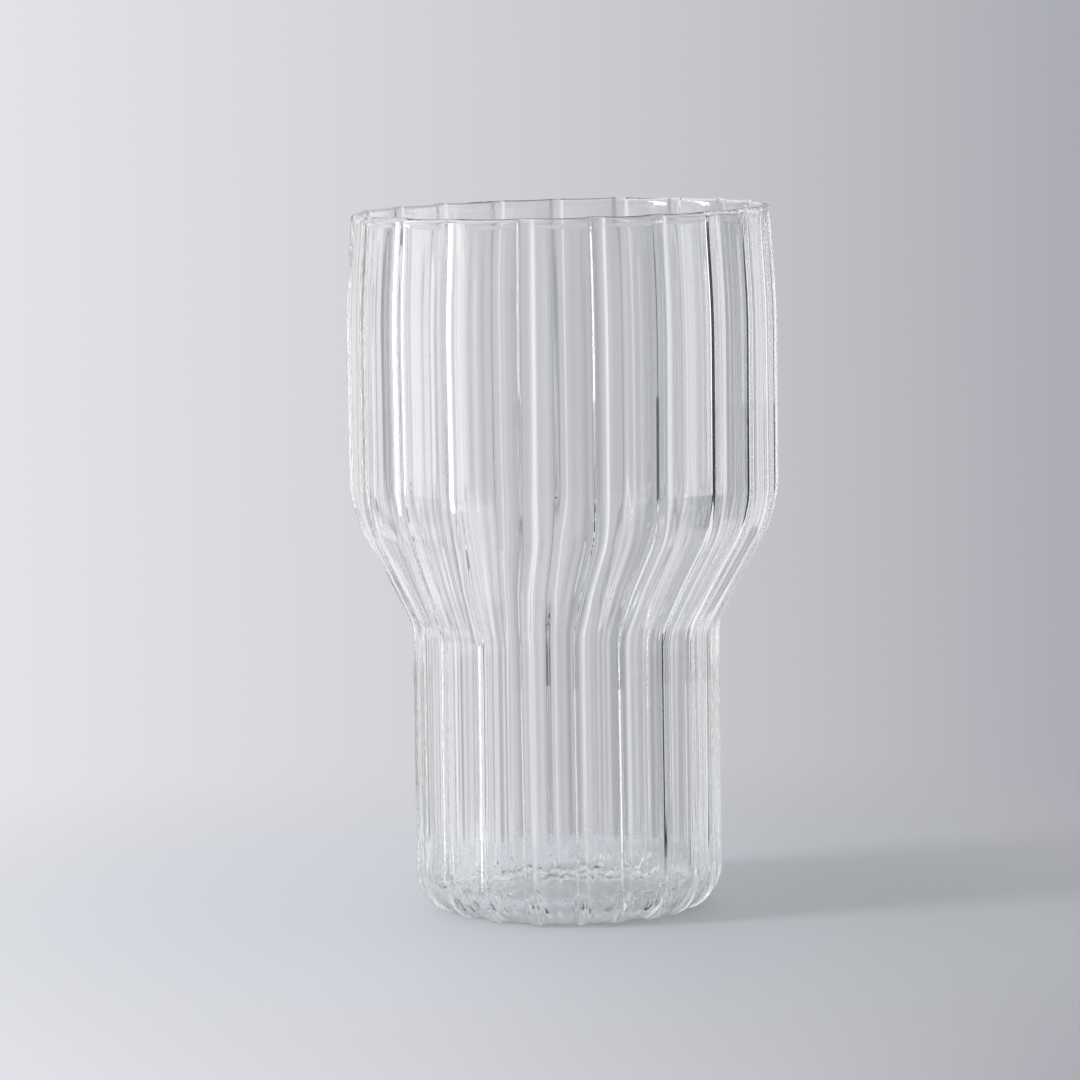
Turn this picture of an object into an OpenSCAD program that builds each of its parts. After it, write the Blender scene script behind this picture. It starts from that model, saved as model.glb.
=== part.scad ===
// Ribbed drinking glass, blown in one piece of clear glass: a narrow foot barrel, a conical
// shoulder and a wide bowl. Flat-topped ribs on the outside run from under the heel to the lip,
// with shallow hollowed panels between them, a little out of even spacing.
// Millimetres, +Z up, with the origin on the table at the centre of the foot.

/* [Overall] */
// Height from the table to the lip
height = 132; // [122:1:150]
// Outside diameter of the bowl, over the ribs
bowl_d = 81; // [74:0.5:90]
// Outside diameter of the foot barrel, over the ribs
foot_d = 58; // [50:0.5:64]

/* [Shoulder] */
// Height of the neck, where the foot barrel turns out into the shoulder
neck_z = 54; // [44:0.5:58]
// Height at which the shoulder turns up into the bowl
shoulder_z = 76.5; // [72:0.5:86]
// Radius of the bend at the neck, outside
neck_bend_r = 9; // [4:0.5:14]
// Radius of the bend from the shoulder into the bowl, outside
bowl_bend_r = 22; // [10:1:30]

/* [Wall] */
// Thickness of the wall beside the ribs
wall = 1.8; // [1.4:0.1:2.4]
// Thickness of the base at its edge, from the table to the floor inside
base_t = 3.2; // [2.6:0.2:6]

/* [Foot] */
// Radius of the heel, where the foot barrel turns under
heel_r = 5.5; // [4.5:0.5:9]
// Radius inside, where the barrel meets the floor
floor_r = 5; // [3:0.5:7]
// Width of the flat ring that the glass stands on
stand_w = 4; // [2:0.5:7]
// Depth of the hollow under the base
punt_depth = 1; // [0.6:0.1:1.6]

/* [Rim] */
// How far the rim is drawn in from the bowl, on the radius
rim_draw = 0.7; // [0.3:0.1:1.5]
// Length of the stretch that is drawn in, below the lip
rim_l = 10; // [8:0.5:14]
// Radius of the soft bend where the rim starts to draw in
rim_bend_r = 140; // [60:5:180]
// Width of the flat left on top of the melted lip
lip_land = 0.2; // [0.1:0.05:0.4]

/* [Ribs] */
// Number of ribs round the glass
rib_count = 20; // [14:1:26]
// Width of a rib where it crosses the bowl, with both of its flanks
rib_w = 3; // [2:0.1:5]
// Height of a rib above the wall
rib_h = 0.7; // [0.3:0.1:1.2]
// Depth by which the panel between two ribs is hollowed at its middle
panel_dip = 0.35; // [0.1:0.05:0.6]

/* [Wander of the ribs] */
// Angle by which the ribs of the foot barrel have turned round the axis, in degrees
foot_turn = 3; // [-6:0.1:6]
// Angle by which the ribs of the bowl have turned round the axis, in degrees
bowl_turn = 3.6; // [-6:0.1:6]
// Angle by which front and back ribs of the foot barrel have drifted to the right, in degrees
foot_drift = -0.7; // [-5:0.1:5]
// Angle by which front and back ribs of the bowl have drifted to the right, in degrees
bowl_drift = 4.4; // [-5:0.1:5]
// Angle by which the ribs of the foot barrel have bunched between front and sides, in degrees
foot_bunch = 2.4; // [-3:0.1:3]
// Angle by which the ribs of the bowl have bunched between front and sides, in degrees
bowl_bunch = 1.5; // [-3:0.1:3]

/* [Hidden] */
$fn = 160;

// Rows of facets round each bend of the outline
heel_steps = 7;
neck_steps = 4;
bowl_steps = 6;
rim_steps = 3;
lip_steps = 4;

// Part of a rib that is its flat top
crown_share = 0.4;

// Places across a rib, as shares of its half width, and across the panel to the next rib
rib_shares = [-1, -0.7, -crown_share, 0, crown_share, 0.7, 1];
panel_shares = [1/3, 2/3];

// How far a cut runs past the face that it opens
overrun = 1;

// Radii of the wall beside the ribs
foot_r = foot_d / 2 - rib_h;
bowl_r = bowl_d / 2 - rib_h;
rim_r = bowl_r - rim_draw;
lip_r = (wall - lip_land) / 2;

// Lean of the shoulder, and how far its corners climb from one face of the wall to the other
lean = atan2(bowl_r - foot_r, shoulder_z - neck_z);
climb = wall * tan(lean / 2);

// Rib spacing, and half a rib's width, as angles
pitch = 360 / rib_count;
half_rib = asin(rib_w / 2 / bowl_r);

// The hollow under the base is the cap of a ball
punt_r = foot_r - heel_r - stand_w;
punt_ball_r = (pow(punt_r, 2) + pow(punt_depth, 2)) / (2 * punt_depth);

function unit(v) = v / norm(v);

function turned(v, a) = [v.x * cos(a) - v.y * sin(a), v.x * sin(a) + v.y * cos(a)];

// Points of the arc of radius r that rounds the corner b between a and c
function bend(a, b, c, r, steps) =
    let (
        u = unit(a - b),
        v = unit(c - b),
        half = acos(u * v) / 2,
        centre = b + unit(u + v) * r / sin(half),
        start = b + u * r / tan(half) - centre,
        end = b + v * r / tan(half) - centre,
        sweep = atan2(cross(start, end), start * end)
    )
    [for (i = [0:steps]) centre + turned(start, sweep * i / steps)];

// An outline of corners, each but the first and last rounded by its radius
function rounded(corners, radii, steps) =
    [for (i = [1:len(corners) - 2])
        each bend(corners[i - 1], corners[i], corners[i + 1], radii[i - 1], steps[i - 1])];

bend_steps = [heel_steps, neck_steps, bowl_steps, rim_steps, lip_steps];

// Half outline of the outside beside the ribs, from the standing ring up to the lip
outer = rounded(
    [[0, 0], [foot_r, 0], [foot_r, neck_z], [bowl_r, shoulder_z], [bowl_r, height - rim_l],
     [rim_r, height], [rim_r - wall, height]],
    [heel_r, neck_bend_r, bowl_bend_r, rim_bend_r, lip_r], bend_steps);

// Half outline of the hollow, one wall further in, from the floor up to the lip
inner = rounded(
    [[0, base_t], [foot_r - wall, base_t], [foot_r - wall, neck_z + climb],
     [bowl_r - wall, shoulder_z + climb], [bowl_r - wall, height - rim_l],
     [rim_r - wall, height], [rim_r, height]],
    [floor_r, neck_bend_r + wall, bowl_bend_r - wall, rim_bend_r - wall, lip_r], bend_steps);

// How much of the ribs row i of the outline has: all of them on an upright wall, fewer as the heel
// and the lip turn away from it, none on the standing ring and on top of the lip
function ribbing(i) =
    i == 0 || i == len(outer) - 1
        ? 0
        : let (run = outer[i + 1] - outer[i - 1]) sqrt(run.y / norm(run));

// Height of a rib at the place s across it, as a share: a flat top with rounded flanks
function rib_rise(s) =
    let (flank = max(0, (abs(s) - crown_share) / (1 - crown_share)))
    (1 + cos(180 * flank)) / 2;

// Each column of facets round the glass: its angle, and how far it stands out from the wall
columns = [for (k = [0:rib_count - 1]) each concat(
    [for (s = rib_shares) [k * pitch + s * half_rib, rib_h * rib_rise(s)]],
    [for (s = panel_shares)
        [k * pitch + half_rib + s * (pitch - 2 * half_rib), -panel_dip * 4 * s * (1 - s)]])];

// How much of the way from the foot barrel to the bowl lies below height z, eased at both ends
function spread(z) =
    let (t = max(0, min(1, (z - neck_z) / (shoulder_z - neck_z))))
    t * t * (3 - 2 * t);

function blend(low, high, share) = low + (high - low) * share;

// Place round the axis, at height z, of a column whose even place is a: the wall was blown by hand,
// which carried the ribs a little out of their even spacing. The front is at -90 degrees.
function wandered(a, z) =
    let (from_front = a + 90, s = spread(z))
    a + blend(foot_turn, bowl_turn, s)
      + blend(foot_drift, bowl_drift, s) * cos(from_front)
      + blend(foot_bunch, bowl_bunch, s) * cos(2 * from_front);

function skin_point(row, column, fade) =
    let (r = row.x + column[1] * fade, a = wandered(column[0], row.y))
    [r * cos(a), r * sin(a), row.y];

// The outside as a filled form: rows of points joined by triangles, closed under the foot and at the lip
module ribbed_form() {
    n = len(columns);
    last = len(outer) - 1;
    skin = [for (i = [0:last], c = columns) skin_point(outer[i], c, ribbing(i))];
    foot_centre = len(skin);
    lip_centre = foot_centre + 1;
    sides = [for (i = [0:last - 1], j = [0:n - 1])
        let (k = (j + 1) % n, low = i * n, high = low + n)
        each [[low + j, high + j, high + k], [low + j, high + k, low + k]]];
    under = [for (j = [0:n - 1]) [foot_centre, j, (j + 1) % n]];
    over = [for (j = [0:n - 1]) [lip_centre, last * n + (j + 1) % n, last * n + j]];
    polyhedron(
        points = concat(skin, [[0, 0, 0], [0, 0, height]]),
        faces = concat(sides, under, over));
}

// The space inside, open at the lip
module hollow() {
    mouth_r = inner[len(inner) - 1].x;
    rotate_extrude()
        polygon(concat(inner,
            [[mouth_r, height + overrun], [0, height + overrun], [0, base_t]]));
}

// The shallow dome under the base, which leaves a flat ring to stand on
module punt() {
    translate([0, 0, punt_depth - punt_ball_r])
        sphere(punt_ball_r);
}

// The whole glass: one continuous wall, closed by a base
module glass_body() {
    color([0.90, 0.94, 0.95, 0.35])
        difference() {
            ribbed_form();
            hollow();
            punt();
        }
}

glass_body();
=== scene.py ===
import math
import random

import bmesh
import bpy
from mathutils import Matrix, Vector


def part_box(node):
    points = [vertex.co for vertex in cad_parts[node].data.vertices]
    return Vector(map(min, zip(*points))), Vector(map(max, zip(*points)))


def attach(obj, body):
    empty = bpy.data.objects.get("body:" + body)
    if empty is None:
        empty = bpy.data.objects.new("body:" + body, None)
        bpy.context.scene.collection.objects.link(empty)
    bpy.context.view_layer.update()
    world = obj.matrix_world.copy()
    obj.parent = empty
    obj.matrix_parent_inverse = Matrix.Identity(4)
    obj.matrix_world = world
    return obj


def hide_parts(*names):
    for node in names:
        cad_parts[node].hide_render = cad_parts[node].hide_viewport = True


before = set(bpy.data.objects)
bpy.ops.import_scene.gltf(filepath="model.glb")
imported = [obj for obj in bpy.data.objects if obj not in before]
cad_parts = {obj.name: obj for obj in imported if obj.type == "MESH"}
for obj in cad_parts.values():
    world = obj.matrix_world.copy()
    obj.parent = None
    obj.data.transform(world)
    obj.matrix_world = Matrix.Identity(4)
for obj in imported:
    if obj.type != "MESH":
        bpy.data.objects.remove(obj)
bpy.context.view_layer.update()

# The glass: one wall of clear glass, drawn as a ribbed tube, closed at the foot, blown out over a
# shoulder into a wide bowl and melted round at the lip. It is made by hand, so its ribs, shoulder
# and rim all wander.
glass_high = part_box("glass_body")[1]
height = glass_high.z
rib_count = 20
rib_h = 0.0006
rib_half_w = 0.0016
crown_share = 0.55
crown_sag = 0.14
panel_dip = 0.0002
bowl_r = glass_high.x - rib_h
foot_r = 0.029 - rib_h
wall = 0.0015
base_t = 0.0030
neck_z, neck_bend_r = 0.054, 0.008
shoulder_z, bowl_bend_r = 0.0765, 0.022
heel_r, floor_bend_r = 0.0068, 0.006
stand_in_r, stand_z, punt_z = 0.018, 0.00003, 0.0014
rim_draw, rim_l, rim_bend_r = 0.0011, 0.018, 0.14
bead_l, bead_swell, bead_r = 0.0017, 0.00018, 0.0009

rim_r = bowl_r - rim_draw
lean = math.atan2(bowl_r - foot_r, shoulder_z - neck_z)
climb = wall * math.tan(lean / 2)

# Corners of the wall's section, from the axis under the foot, up the outside, over the lip and down
# the inside to the floor: radius, height and the radius of the bend there
corners = [
    (0, punt_z, 0),
    (stand_in_r, stand_z, 0.02),
    (foot_r, stand_z, heel_r),
    (foot_r, neck_z, neck_bend_r),
    (bowl_r, shoulder_z, bowl_bend_r),
    (bowl_r, height - rim_l, rim_bend_r),
    (rim_r, height - bead_l, 0.0012),
    (rim_r + bead_swell, height - bead_l * 0.6, 0.0012),
    (rim_r + bead_swell, height, bead_r),
    (rim_r - wall, height, bead_r),
    (rim_r - wall, height - bead_l, 0.004),
    (bowl_r - wall, height - rim_l, rim_bend_r),
    (bowl_r - wall, shoulder_z + climb, bowl_bend_r - wall),
    (foot_r - wall, neck_z + climb, neck_bend_r + wall),
    (foot_r - wall, base_t, floor_bend_r),
    (0, base_t, 0),
]
row_gap = 0.0075
bend_gap = 0.0012

bm = bmesh.new()
is_outer = bm.verts.layers.float.new("is_outer")
face_r = bm.verts.layers.float.new("face_r")
face_z = bm.verts.layers.float.new("face_z")
tube_place = bm.verts.layers.float_vector.new("tube_place")
floor_bend = bm.verts.layers.float.new("floor_bend")
points = [bm.verts.new((r, 0, z)) for r, z, _ in corners]
for lower, upper in zip(points, points[1:]):
    bm.edges.new((lower, upper))
for i in range(1, len(corners) - 1):
    before = (points[i].co - Vector((corners[i - 1][0], 0, corners[i - 1][1]))).normalized()
    after = (Vector((corners[i + 1][0], 0, corners[i + 1][1])) - points[i].co).normalized()
    turn = before.angle(after)
    bend_r = corners[i][2]
    steps = max(3, round(bend_r * turn / bend_gap)) if bend_r < 0.1 else 3
    bmesh.ops.bevel(bm, geom=[points[i]], offset=bend_r * math.tan(turn / 2), offset_type="OFFSET",
                    segments=steps, profile=0.5, affect="VERTICES", material=-1)
for edge in [e for e in bm.edges if e.calc_length() > row_gap * 1.2]:
    bmesh.ops.subdivide_edges(bm, edges=[edge], cuts=round(edge.calc_length() / row_gap) - 1)

# The way each point of the section faces, read along the outline from its start
chain = [min((v for v in bm.verts if v.co.x < 1e-9), key=lambda v: v.co.z)]
while len(chain) < len(bm.verts):
    chain.append(next(e.other_vert(chain[-1]) for e in chain[-1].link_edges
                      if len(chain) == 1 or e.other_vert(chain[-1]) is not chain[-2]))
lip_top = max(range(len(chain)), key=lambda i: chain[i].co.z)
for i, v in enumerate(chain):
    run = chain[min(i + 1, len(chain) - 1)].co - chain[max(i - 1, 0)].co
    run.normalize()
    v[face_r], v[face_z] = run.z, -run.x
    v[is_outer] = 1.0 if i <= lip_top else 0.0

# Columns across half a rib spacing, as shares of the spacing: close together on the rib's flank,
# wide in the panel
column_shares = [0, .03, .058, .078, .092, .103, .113, .123, .133, .145, .162, .185,
                 .21, .236, .262, .288, .314, .34, .366, .392, .419, .446, .473, .5]
columns_per_rib = 2 * (len(column_shares) - 1)
pitch = math.tau / rib_count
bmesh.ops.spin(bm, geom=bm.verts[:] + bm.edges[:], cent=(0, 0, 0), axis=(0, 0, 1), angle=pitch,
               steps=columns_per_rib)
bmesh.ops.spin(bm, geom=bm.verts[:] + bm.edges[:] + bm.faces[:], cent=(0, 0, 0), axis=(0, 0, 1),
               angle=math.tau - pitch, steps=rib_count - 1, use_duplicate=True)
bmesh.ops.remove_doubles(bm, verts=bm.verts[:], dist=1e-6)
bmesh.ops.recalc_face_normals(bm, faces=bm.faces[:])

rim_tilt = math.radians(0.6)
shoulder_sag, sag_l = 0.0009, 0.014
hump_h, hump_l = 0.00016, 0.006
fold_h, crease_h = 0.0008, 0.00015
sway, sway_l = 0.25, 0.018

# How the ribs have wandered from even spacing, in degrees, in the foot barrel and in the bowl: all of
# them turned, front and back drifted to one side, bunched between front and sides, and each rib by
# itself, from the front one to the right
foot_wander, bowl_wander = (3.0, -0.7, 2.4), (3.6, 4.4, 1.5)
foot_shifts = [0.2, -0.8, 1.6, 1.0, 0.4, 0.3, -0.3, 0.2, 0.4, -0.4,
               0.3, -0.3, 0.2, 0.4, -0.3, -0.6, -1.2, -1.6, -1.5, -1.1]
bowl_shifts = [0.2, -0.2, 1.1, 1.6, 0.9, -0.4, 0.4, -0.2, 0.3, -0.3,
               0.4, -0.4, 0.2, -0.3, 0.4, -0.4, -0.8, -1.2, -1.5, -0.6]
front_rib = 15

# The nine ribs at the back are lower, and each rib and panel differs a little from the next
wander = random.Random(11)
back_share = [1 if abs(m - rib_count / 2) > 4.5 else 0.45 for m in range(rib_count)]
rib_width_share = [1 + 0.12 * wander.uniform(-1, 1) for _ in range(rib_count)]
rib_height_share = [share * (1 + 0.15 * wander.uniform(-1, 1)) for share in back_share]
rib_sway = [wander.uniform(0, math.tau) for _ in range(rib_count)]
panel_share = [1 + 0.25 * wander.uniform(-1, 1) for _ in range(rib_count)]
hump_share = [1 + 0.5 * wander.uniform(-1, 1) for _ in range(rib_count)]


def ease(low, high, value):
    share = max(0.0, min(1.0, (value - low) / (high - low)))
    return share * share * (3 - 2 * share)


def between(values, rib, beside, share):
    return values[rib] + (values[beside] - values[rib]) * share


for v in bm.verts:
    r, z = math.hypot(v.co.x, v.co.y), v.co.z
    if r < 1e-6:
        continue

    # The rib that the column belongs to, and how far from its middle the column stands
    place = math.atan2(v.co.y, v.co.x) / pitch
    k = round(place)
    far = column_shares[min(round(abs(place - k) * columns_per_rib), len(column_shares) - 1)]
    off = math.copysign(far, place - k)
    even = (k + off) * pitch
    rib = (k - front_rib) % rib_count
    beside = (rib + (1 if off >= 0 else -1)) % rib_count
    panel_index = rib if off >= 0 else beside

    # The rise of the rib and the dip of the panel there
    across = far * pitch * bowl_r / (rib_half_w * rib_width_share[rib])
    flank = max(0.0, min(1.0, (across - crown_share) / (1 - crown_share)))
    crown = 1 - crown_sag * across ** 2
    rise = rib_h * rib_height_share[rib] * crown * (1 + math.cos(math.pi * flank)) / 2
    edge_off = rib_half_w / bowl_r / pitch
    panel = max(0.0, (far - edge_off) / (0.5 - edge_off))
    dip = panel_dip * panel_share[panel_index] * (1 - (1 - panel) ** 2)

    # Outside, ribs and panels, which run out under the heel and soften in the bead. Inside, folds and
    # creases at the bend of the floor and fine flutes up the wall
    below_lip = height - z
    if v[is_outer] > 0.5:
        amount = max(0.0, v[face_r]) ** 0.6 if z < heel_r else 1.0
        bead = 1 - ease(bead_l * 0.5, bead_l * 1.6, below_lip)
        lift = rise * (1 - 0.3 * bead) - dip * (1 - 0.8 * bead)
    else:
        amount = 1.0
        near_floor = math.exp(-((z - base_t - 0.0016) / 0.0028) ** 2) * ease(0.013, 0.021, r)
        v[floor_bend] = near_floor * (0.6 + 0.4 * math.sin(even))
        fold = math.cos(rib_count * pitch * place)
        crease = sum(math.sin(waves * pitch * place + start)
                     for waves, start in ((61, 1), (83, 2), (47, 0))) / 3
        lift = (fold_h * max(0.0, fold) ** 2 + crease_h * crease) * near_floor
        flutes = math.sin(97 * even + 2 * math.sin(3 * even))
        flutes += 0.7 * math.sin(131 * even + 3 * math.sin(2 * even))
        flute_h = 0.000010 + 0.000008 * math.cos(even) ** 2
        flute_h *= 1 - ease(height - 0.006, height - 0.001, z)
        lift += flute_h * flutes * ease(base_t + 0.004, base_t + 0.012, z)
    r += lift * amount * v[face_r]
    up = lift * amount * v[face_z] * (1 - ease(height - 0.004, height - 0.002, z))
    up += hump_h * hump_share[rib] * math.exp(-(across / 1.6) ** 2) * (1 - ease(0.0, hump_l, below_lip))

    # The wander of the rib round the axis, then the tilt of the rim and the sag of the shoulder
    spread = ease(neck_z, shoulder_z, z)
    shift = between(foot_shifts, rib, beside, far)
    shift += (between(bowl_shifts, rib, beside, far) - shift) * spread
    shift += sway * math.sin(z / sway_l + rib_sway[rib]) * (1 - 2 * far)
    for low, high, wave in zip(foot_wander, bowl_wander, (0, 1, 2)):
        shift += (low + (high - low) * spread) * math.cos(wave * (even + math.pi / 2))
    angle = even + math.radians(shift)
    v[tube_place] = (math.cos(even), math.sin(even), z + (0 if v[is_outer] > 0.5 else 1))
    x, y = r * math.cos(angle), r * math.sin(angle)
    up += math.tan(rim_tilt) * x * ease(shoulder_z, height, z)
    up -= shoulder_sag * (1 + math.cos(angle)) / 2 * math.exp(-((z - shoulder_z) / sag_l) ** 2)
    v.co = (x, y, z + up)

glass_mesh = bpy.data.meshes.new("ribbed_glass")
bm.to_mesh(glass_mesh)
bm.free()
glass_mesh.polygons.foreach_set("use_smooth", [True] * len(glass_mesh.polygons))
ribbed_glass = bpy.data.objects.new("ribbed_glass", glass_mesh)
bpy.context.scene.collection.objects.link(ribbed_glass)

# Clear glass with a breath of green in its depth. Faint ripples run up the wall as it was drawn, and
# the bend at the floor is wrinkled
clear_glass = bpy.data.materials.new("clear_glass")
clear_glass.use_nodes = True
nodes, links = clear_glass.node_tree.nodes, clear_glass.node_tree.links
gloss = nodes["Principled BSDF"]
gloss.inputs["Base Color"].default_value = (0.968, 0.973, 0.973, 1)
gloss.inputs["Roughness"].default_value = 0.0
gloss.inputs["IOR"].default_value = 1.47
gloss.inputs["Transmission Weight"].default_value = 1.0
tube = nodes.new("ShaderNodeAttribute")
tube.attribute_name = "tube_place"
stretch = nodes.new("ShaderNodeMapping")
stretch.inputs["Scale"].default_value = (1, 1, 0.35)
links.new(tube.outputs["Vector"], stretch.inputs["Vector"])
draw_lines = nodes.new("ShaderNodeTexNoise")
draw_lines.inputs["Scale"].default_value = 15
draw_lines.inputs["Detail"].default_value = 1.0
draw_lines.inputs["Roughness"].default_value = 0.35
links.new(stretch.outputs["Vector"], draw_lines.inputs["Vector"])
ripple = nodes.new("ShaderNodeBump")
ripple.inputs["Strength"].default_value = 1.0
ripple.inputs["Distance"].default_value = 0.00003
links.new(draw_lines.outputs["Fac"], ripple.inputs["Height"])
fine = nodes.new("ShaderNodeMapping")
fine.inputs["Scale"].default_value = (1, 1, 30)
links.new(tube.outputs["Vector"], fine.inputs["Vector"])
creases = nodes.new("ShaderNodeTexNoise")
creases.inputs["Scale"].default_value = 22
creases.inputs["Detail"].default_value = 2.0
links.new(fine.outputs["Vector"], creases.inputs["Vector"])
at_bend = nodes.new("ShaderNodeAttribute")
at_bend.attribute_name = "floor_bend"
creased = nodes.new("ShaderNodeMath")
creased.operation = "MULTIPLY"
links.new(creases.outputs["Fac"], creased.inputs[0])
links.new(at_bend.outputs["Fac"], creased.inputs[1])
wrinkle = nodes.new("ShaderNodeBump")
wrinkle.inputs["Strength"].default_value = 1.0
wrinkle.inputs["Distance"].default_value = 0.0016
links.new(creased.outputs[0], wrinkle.inputs["Height"])
links.new(ripple.outputs["Normal"], wrinkle.inputs["Normal"])
links.new(wrinkle.outputs["Normal"], gloss.inputs["Normal"])
tint = nodes.new("ShaderNodeVolumeAbsorption")
tint.inputs["Color"].default_value = (0.80, 0.92, 0.86, 1)
tint.inputs["Density"].default_value = 1.5
links.new(tint.outputs["Volume"], nodes["Material Output"].inputs["Volume"])
glass_mesh.materials.append(clear_glass)

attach(ribbed_glass, "root")
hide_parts("glass_body")

# The table: a plain pale top, matt and a little cool. The lamps on the left light it, and a painted
# glow adds to that, brighter on the left and painted darker towards the right as shade. It fades into
# the pale surroundings all round.
table_r = 0.5
table_mesh = bpy.data.meshes.new("table")
bm = bmesh.new()
bmesh.ops.create_circle(bm, cap_ends=True, radius=table_r, segments=96)
bm.to_mesh(table_mesh)
bm.free()
table = bpy.data.objects.new("table", table_mesh)
bpy.context.scene.collection.objects.link(table)

table_top = bpy.data.materials.new("table_top")
table_top.use_nodes = True
nodes, links = table_top.node_tree.nodes, table_top.node_tree.links
matt = nodes["Principled BSDF"]
matt.inputs["Base Color"].default_value = (0.31, 0.322, 0.345, 1)
matt.inputs["Roughness"].default_value = 0.6
# The colour of the painted glow
matt.inputs["Emission Color"].default_value = (0.62, 0.645, 0.69, 1)
coords = nodes.new("ShaderNodeTexCoord")
ray = nodes.new("ShaderNodeLightPath")

# Painted light: the top glows by itself for the camera and glows more strongly seen through the glass,
# and the glow is painted darker towards the right as shade
straight = nodes.new("ShaderNodeMath")
straight.operation = "MULTIPLY_ADD"
straight.inputs[1].default_value = 1.5
links.new(ray.outputs["Is Transmission Ray"], straight.inputs[0])
links.new(ray.outputs["Is Camera Ray"], straight.inputs[2])
painted_glow = nodes.new("ShaderNodeMath")
painted_glow.operation = "MULTIPLY"
painted_glow.inputs[1].default_value = 0.55
links.new(straight.outputs[0], painted_glow.inputs[0])
over = nodes.new("ShaderNodeSeparateXYZ")
links.new(coords.outputs["Object"], over.inputs[0])
painted_shade_right = nodes.new("ShaderNodeMapRange")
painted_shade_right.interpolation_type = "SMOOTHSTEP"
painted_shade_right.inputs["From Min"].default_value = -0.05
painted_shade_right.inputs["From Max"].default_value = 0.08
painted_shade_right.inputs["To Min"].default_value = 0.77
painted_shade_right.inputs["To Max"].default_value = 0.35
links.new(over.outputs["X"], painted_shade_right.inputs["Value"])
painted_glow_level = nodes.new("ShaderNodeMath")
painted_glow_level.operation = "MULTIPLY"
links.new(painted_glow.outputs[0], painted_glow_level.inputs[0])
links.new(painted_shade_right.outputs["Result"], painted_glow_level.inputs[1])
links.new(painted_glow_level.outputs[0], matt.inputs["Emission Strength"])

# The fade, which comes nearer for rays that don't reach the camera straight
far_off = nodes.new("ShaderNodeVectorMath")
far_off.operation = "LENGTH"
links.new(coords.outputs["Object"], far_off.inputs[0])
nearer = nodes.new("ShaderNodeMapRange")
nearer.inputs["To Min"].default_value = 2.2
nearer.inputs["To Max"].default_value = 1.0
links.new(ray.outputs["Is Camera Ray"], nearer.inputs["Value"])
reach = nodes.new("ShaderNodeMath")
reach.operation = "MULTIPLY"
links.new(far_off.outputs["Value"], reach.inputs[0])
links.new(nearer.outputs["Result"], reach.inputs[1])
fade = nodes.new("ShaderNodeMapRange")
fade.interpolation_type = "SMOOTHSTEP"
fade.inputs["From Min"].default_value = 0.05
fade.inputs["From Max"].default_value = 0.2
links.new(reach.outputs[0], fade.inputs["Value"])
clear = nodes.new("ShaderNodeBsdfTransparent")
blend = nodes.new("ShaderNodeMixShader")
links.new(fade.outputs["Result"], blend.inputs[0])
links.new(matt.outputs[0], blend.inputs[1])
links.new(clear.outputs[0], blend.inputs[2])
links.new(blend.outputs[0], nodes["Material Output"].inputs["Surface"])
table_mesh.materials.append(table_top)

# The surroundings: pale all round, brightest on the left and darker just right of the middle. Upright
# grey and dark strips, out of the camera's sight, show as lines in the glass.
world = bpy.data.worlds.new("surroundings")
bpy.context.scene.world = world
world.use_nodes = True
nodes, links = world.node_tree.nodes, world.node_tree.links
nodes.clear()
direction = nodes.new("ShaderNodeTexCoord")
parts = nodes.new("ShaderNodeSeparateXYZ")
links.new(direction.outputs["Generated"], parts.inputs[0])
path = nodes.new("ShaderNodeLightPath")

# The camera sees only the plain middle of the band, whichever way it looks
middle = nodes.new("ShaderNodeClamp")
middle.inputs["Min"].default_value, middle.inputs["Max"].default_value = -0.25, 0.25
links.new(parts.outputs["X"], middle.inputs["Value"])
seen_x = nodes.new("ShaderNodeMix")
links.new(path.outputs["Is Camera Ray"], seen_x.inputs[0])
links.new(parts.outputs["X"], seen_x.inputs[2])
links.new(middle.outputs[0], seen_x.inputs[3])
side = nodes.new("ShaderNodeMapRange")
side.inputs["From Min"].default_value = -1
side.inputs["From Max"].default_value = 1
links.new(seen_x.outputs[0], side.inputs["Value"])
ramp = nodes.new("ShaderNodeValToRGB")
links.new(side.outputs["Result"], ramp.inputs["Fac"])


def srgb(*levels):
    return [((v / 255 + 0.055) / 1.055) ** 2.4 for v in levels]


# From left to right: how far to the side a ray points, and the colour there
stops = [
    (-1.0, (255, 255, 255)),
    (-0.95, (255, 255, 255)),
    (-0.94, (150, 151, 155)),
    (-0.89, (150, 151, 155)),
    (-0.88, (255, 255, 255)),
    (-0.80, (255, 255, 255)),
    (-0.79, (150, 151, 155)),
    (-0.74, (150, 151, 155)),
    (-0.73, (252, 252, 253)),
    (-0.64, (252, 252, 253)),
    (-0.63, (160, 161, 165)),
    (-0.57, (160, 161, 165)),
    (-0.56, (250, 250, 252)),
    (-0.25, (240, 240, 243)),
    (-0.11, (227, 227, 232)),
    (-0.03, (212, 211, 217)),
    (0.04, (194, 194, 200)),
    (0.10, (172, 173, 180)),
    (0.16, (166, 168, 175)),
    (0.25, (180, 182, 188)),
    (0.36, (220, 221, 225)),
    (0.41, (235, 236, 238)),
    (0.42, (65, 66, 68)),
    (0.50, (65, 66, 68)),
    (0.51, (245, 246, 247)),
    (0.735, (248, 249, 250)),
    (0.845, (250, 250, 251)),
    (0.855, (40, 41, 43)),
    (0.975, (40, 41, 43)),
    (1.0, (253, 253, 253)),
]
band = ramp.color_ramp.elements
for i, (x, levels) in enumerate(stops):
    stop = band[0] if i == 0 else band[-1] if i == len(stops) - 1 else band.new((x + 1) / 2)
    stop.position = (x + 1) / 2
    stop.color = (*srgb(*levels), 1)

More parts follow.
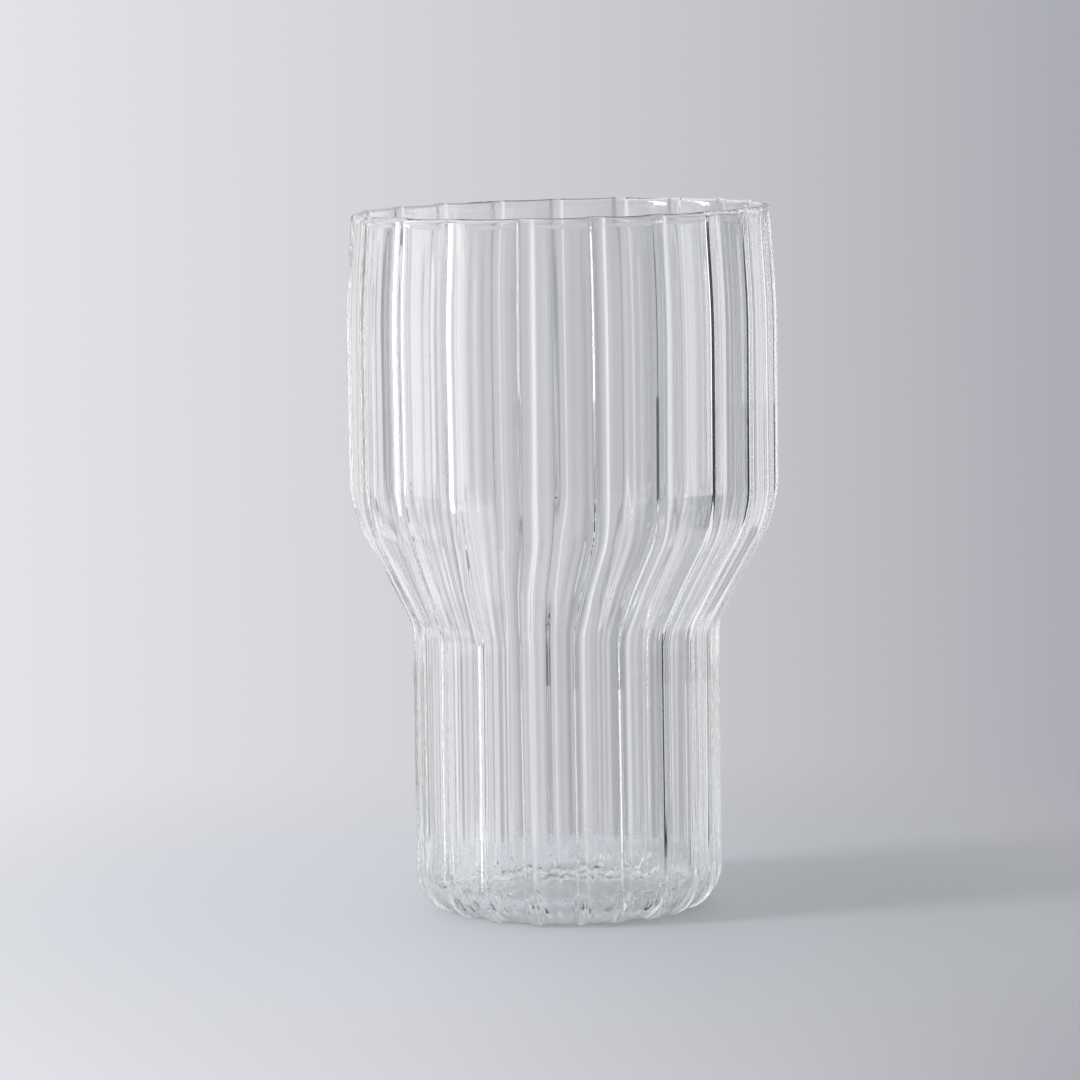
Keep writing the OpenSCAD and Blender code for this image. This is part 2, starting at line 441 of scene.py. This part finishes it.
# The front, behind the camera, is dark for reflections, and the light comes back overhead
straight_on = nodes.new("ShaderNodeMath")
straight_on.operation = "MAXIMUM"
links.new(path.outputs["Is Camera Ray"], straight_on.inputs[0])
links.new(path.outputs["Is Transmission Ray"], straight_on.inputs[1])
front_level = nodes.new("ShaderNodeMapRange")
front_level.inputs["To Min"].default_value = 0.04
front_level.inputs["To Max"].default_value = 0.6
links.new(straight_on.outputs[0], front_level.inputs["Value"])
front = nodes.new("ShaderNodeMapRange")
front.interpolation_type = "SMOOTHSTEP"
front.inputs["From Min"].default_value = -0.25
front.inputs["From Max"].default_value = -0.05
links.new(parts.outputs["Y"], front.inputs["Value"])
links.new(front_level.outputs["Result"], front.inputs["To Min"])
above = nodes.new("ShaderNodeMapRange")
above.interpolation_type = "SMOOTHSTEP"
above.inputs["From Min"].default_value = 0.2
above.inputs["From Max"].default_value = 0.6
above.inputs["To Max"].default_value = 0.9
links.new(parts.outputs["Z"], above.inputs["Value"])
open_sky = nodes.new("ShaderNodeMath")
open_sky.operation = "MAXIMUM"
links.new(front.outputs["Result"], open_sky.inputs[0])
links.new(above.outputs["Result"], open_sky.inputs[1])

# Two black flags stand on the dark strips, a little below the level of the glass's middle
far_strip = nodes.new("ShaderNodeMath")
far_strip.operation = "COMPARE"
far_strip.inputs[1].default_value, far_strip.inputs[2].default_value = 0.915, 0.065
links.new(seen_x.outputs[0], far_strip.inputs[0])
near_strip = nodes.new("ShaderNodeMath")
near_strip.operation = "COMPARE"
near_strip.inputs[1].default_value, near_strip.inputs[2].default_value = 0.45, 0.12
links.new(seen_x.outputs[0], near_strip.inputs[0])
in_strip = nodes.new("ShaderNodeMath")
in_strip.operation = "MAXIMUM"
links.new(far_strip.outputs[0], in_strip.inputs[0])
links.new(near_strip.outputs[0], in_strip.inputs[1])
upright = nodes.new("ShaderNodeMath")
upright.operation = "COMPARE"
upright.inputs[1].default_value, upright.inputs[2].default_value = -0.113, 0.027
links.new(parts.outputs["Z"], upright.inputs[0])
flag = nodes.new("ShaderNodeMath")
flag.operation = "MULTIPLY"
links.new(in_strip.outputs[0], flag.inputs[0])
links.new(upright.outputs[0], flag.inputs[1])
past_flag = nodes.new("ShaderNodeMapRange")
past_flag.inputs["To Min"].default_value = 1.0
past_flag.inputs["To Max"].default_value = 0.06
links.new(flag.outputs[0], past_flag.inputs["Value"])
level = nodes.new("ShaderNodeMath")
level.operation = "MULTIPLY"
links.new(open_sky.outputs[0], level.inputs[0])
links.new(past_flag.outputs["Result"], level.inputs[1])

# What is seen, and the even light that the table gets
shown = nodes.new("ShaderNodeBackground")
links.new(level.outputs[0], shown.inputs["Strength"])
links.new(ramp.outputs["Color"], shown.inputs["Color"])
soft = nodes.new("ShaderNodeBackground")
soft.inputs["Color"].default_value = (1, 1, 1, 1)
soft.inputs["Strength"].default_value = 0.7
seen = nodes.new("ShaderNodeMath")
seen.operation = "MAXIMUM"
links.new(straight_on.outputs[0], seen.inputs[0])
links.new(path.outputs["Is Glossy Ray"], seen.inputs[1])
either = nodes.new("ShaderNodeMixShader")
links.new(seen.outputs[0], either.inputs[0])
links.new(soft.outputs[0], either.inputs[1])
links.new(shown.outputs[0], either.inputs[2])
sky = nodes.new("ShaderNodeOutputWorld")
links.new(either.outputs[0], sky.inputs["Surface"])

# The lamps: a tall soft box on each side, two narrow windows on the left that show as white lines in
# the ribs, the weaker glow of one of them through the glass, and a spill that throws the shadow. Each
# has its place, width, height and watts, and whether table, reflections and refracted rays see it.
lamp_aim = Vector((0, 0, 0.06))
for name, lamp_place, lamp_w, lamp_h, watts, on_table, mirrored, through in (
        ("left_box", Vector((-0.74, -0.10, 0.35)), 0.5, 0.9, 1.1, True, True, True),
        ("right_box", Vector((0.74, -0.10, 0.35)), 0.5, 0.9, 1.9, False, True, True),
        ("window", Vector((-0.71, -0.365, 0.20)), 0.13, 0.9, 5.0, False, True, False),
        ("window_glow", Vector((-0.72, -0.37, 0.20)), 0.16, 0.9, 1.1, False, False, True),
        ("side_window", Vector((-0.794, 0.0975, 0.20)), 0.10, 0.9, 3.5, False, True, False),
        ("spill", Vector((-0.78, -0.28, 0.22)), 0.20, 0.30, 9.0, True, False, False)):
    lamp_data = bpy.data.lights.new(name, "AREA")
    lamp_data.shape = "RECTANGLE"
    lamp_data.size, lamp_data.size_y, lamp_data.energy = lamp_w, lamp_h, watts
    lamp = bpy.data.objects.new(name, lamp_data)
    bpy.context.scene.collection.objects.link(lamp)
    lamp.matrix_world = (Matrix.Translation(lamp_place)
                         @ (lamp_aim - lamp_place).to_track_quat("-Z", "Y").to_matrix().to_4x4())
    lamp.visible_diffuse = on_table
    lamp.visible_glossy = mirrored
    lamp.visible_transmission = through

# The camera: a long lens a metre off, looking a little down on the glass and turned by a hair.
camera_data = bpy.data.cameras.new("camera")
camera_data.sensor_fit = "HORIZONTAL"
camera_data.sensor_width = 36.0
camera_data.lens = 168.9
camera = bpy.data.objects.new("camera", camera_data)
bpy.context.scene.collection.objects.link(camera)
camera.matrix_world = (Matrix.Translation((0, -0.95, 0.1768))
                       @ Matrix.Rotation(math.radians(0.283), 4, "Z")
                       @ Matrix.Rotation(math.radians(90 - 6.44), 4, "X")
                       @ Matrix.Rotation(math.radians(-0.8), 4, "Z"))
bpy.context.scene.camera = camera
bpy.context.scene.view_settings.view_transform = "Standard"
light_paths = bpy.context.scene.cycles
light_paths.max_bounces = light_paths.glossy_bounces = light_paths.transmission_bounces = 32
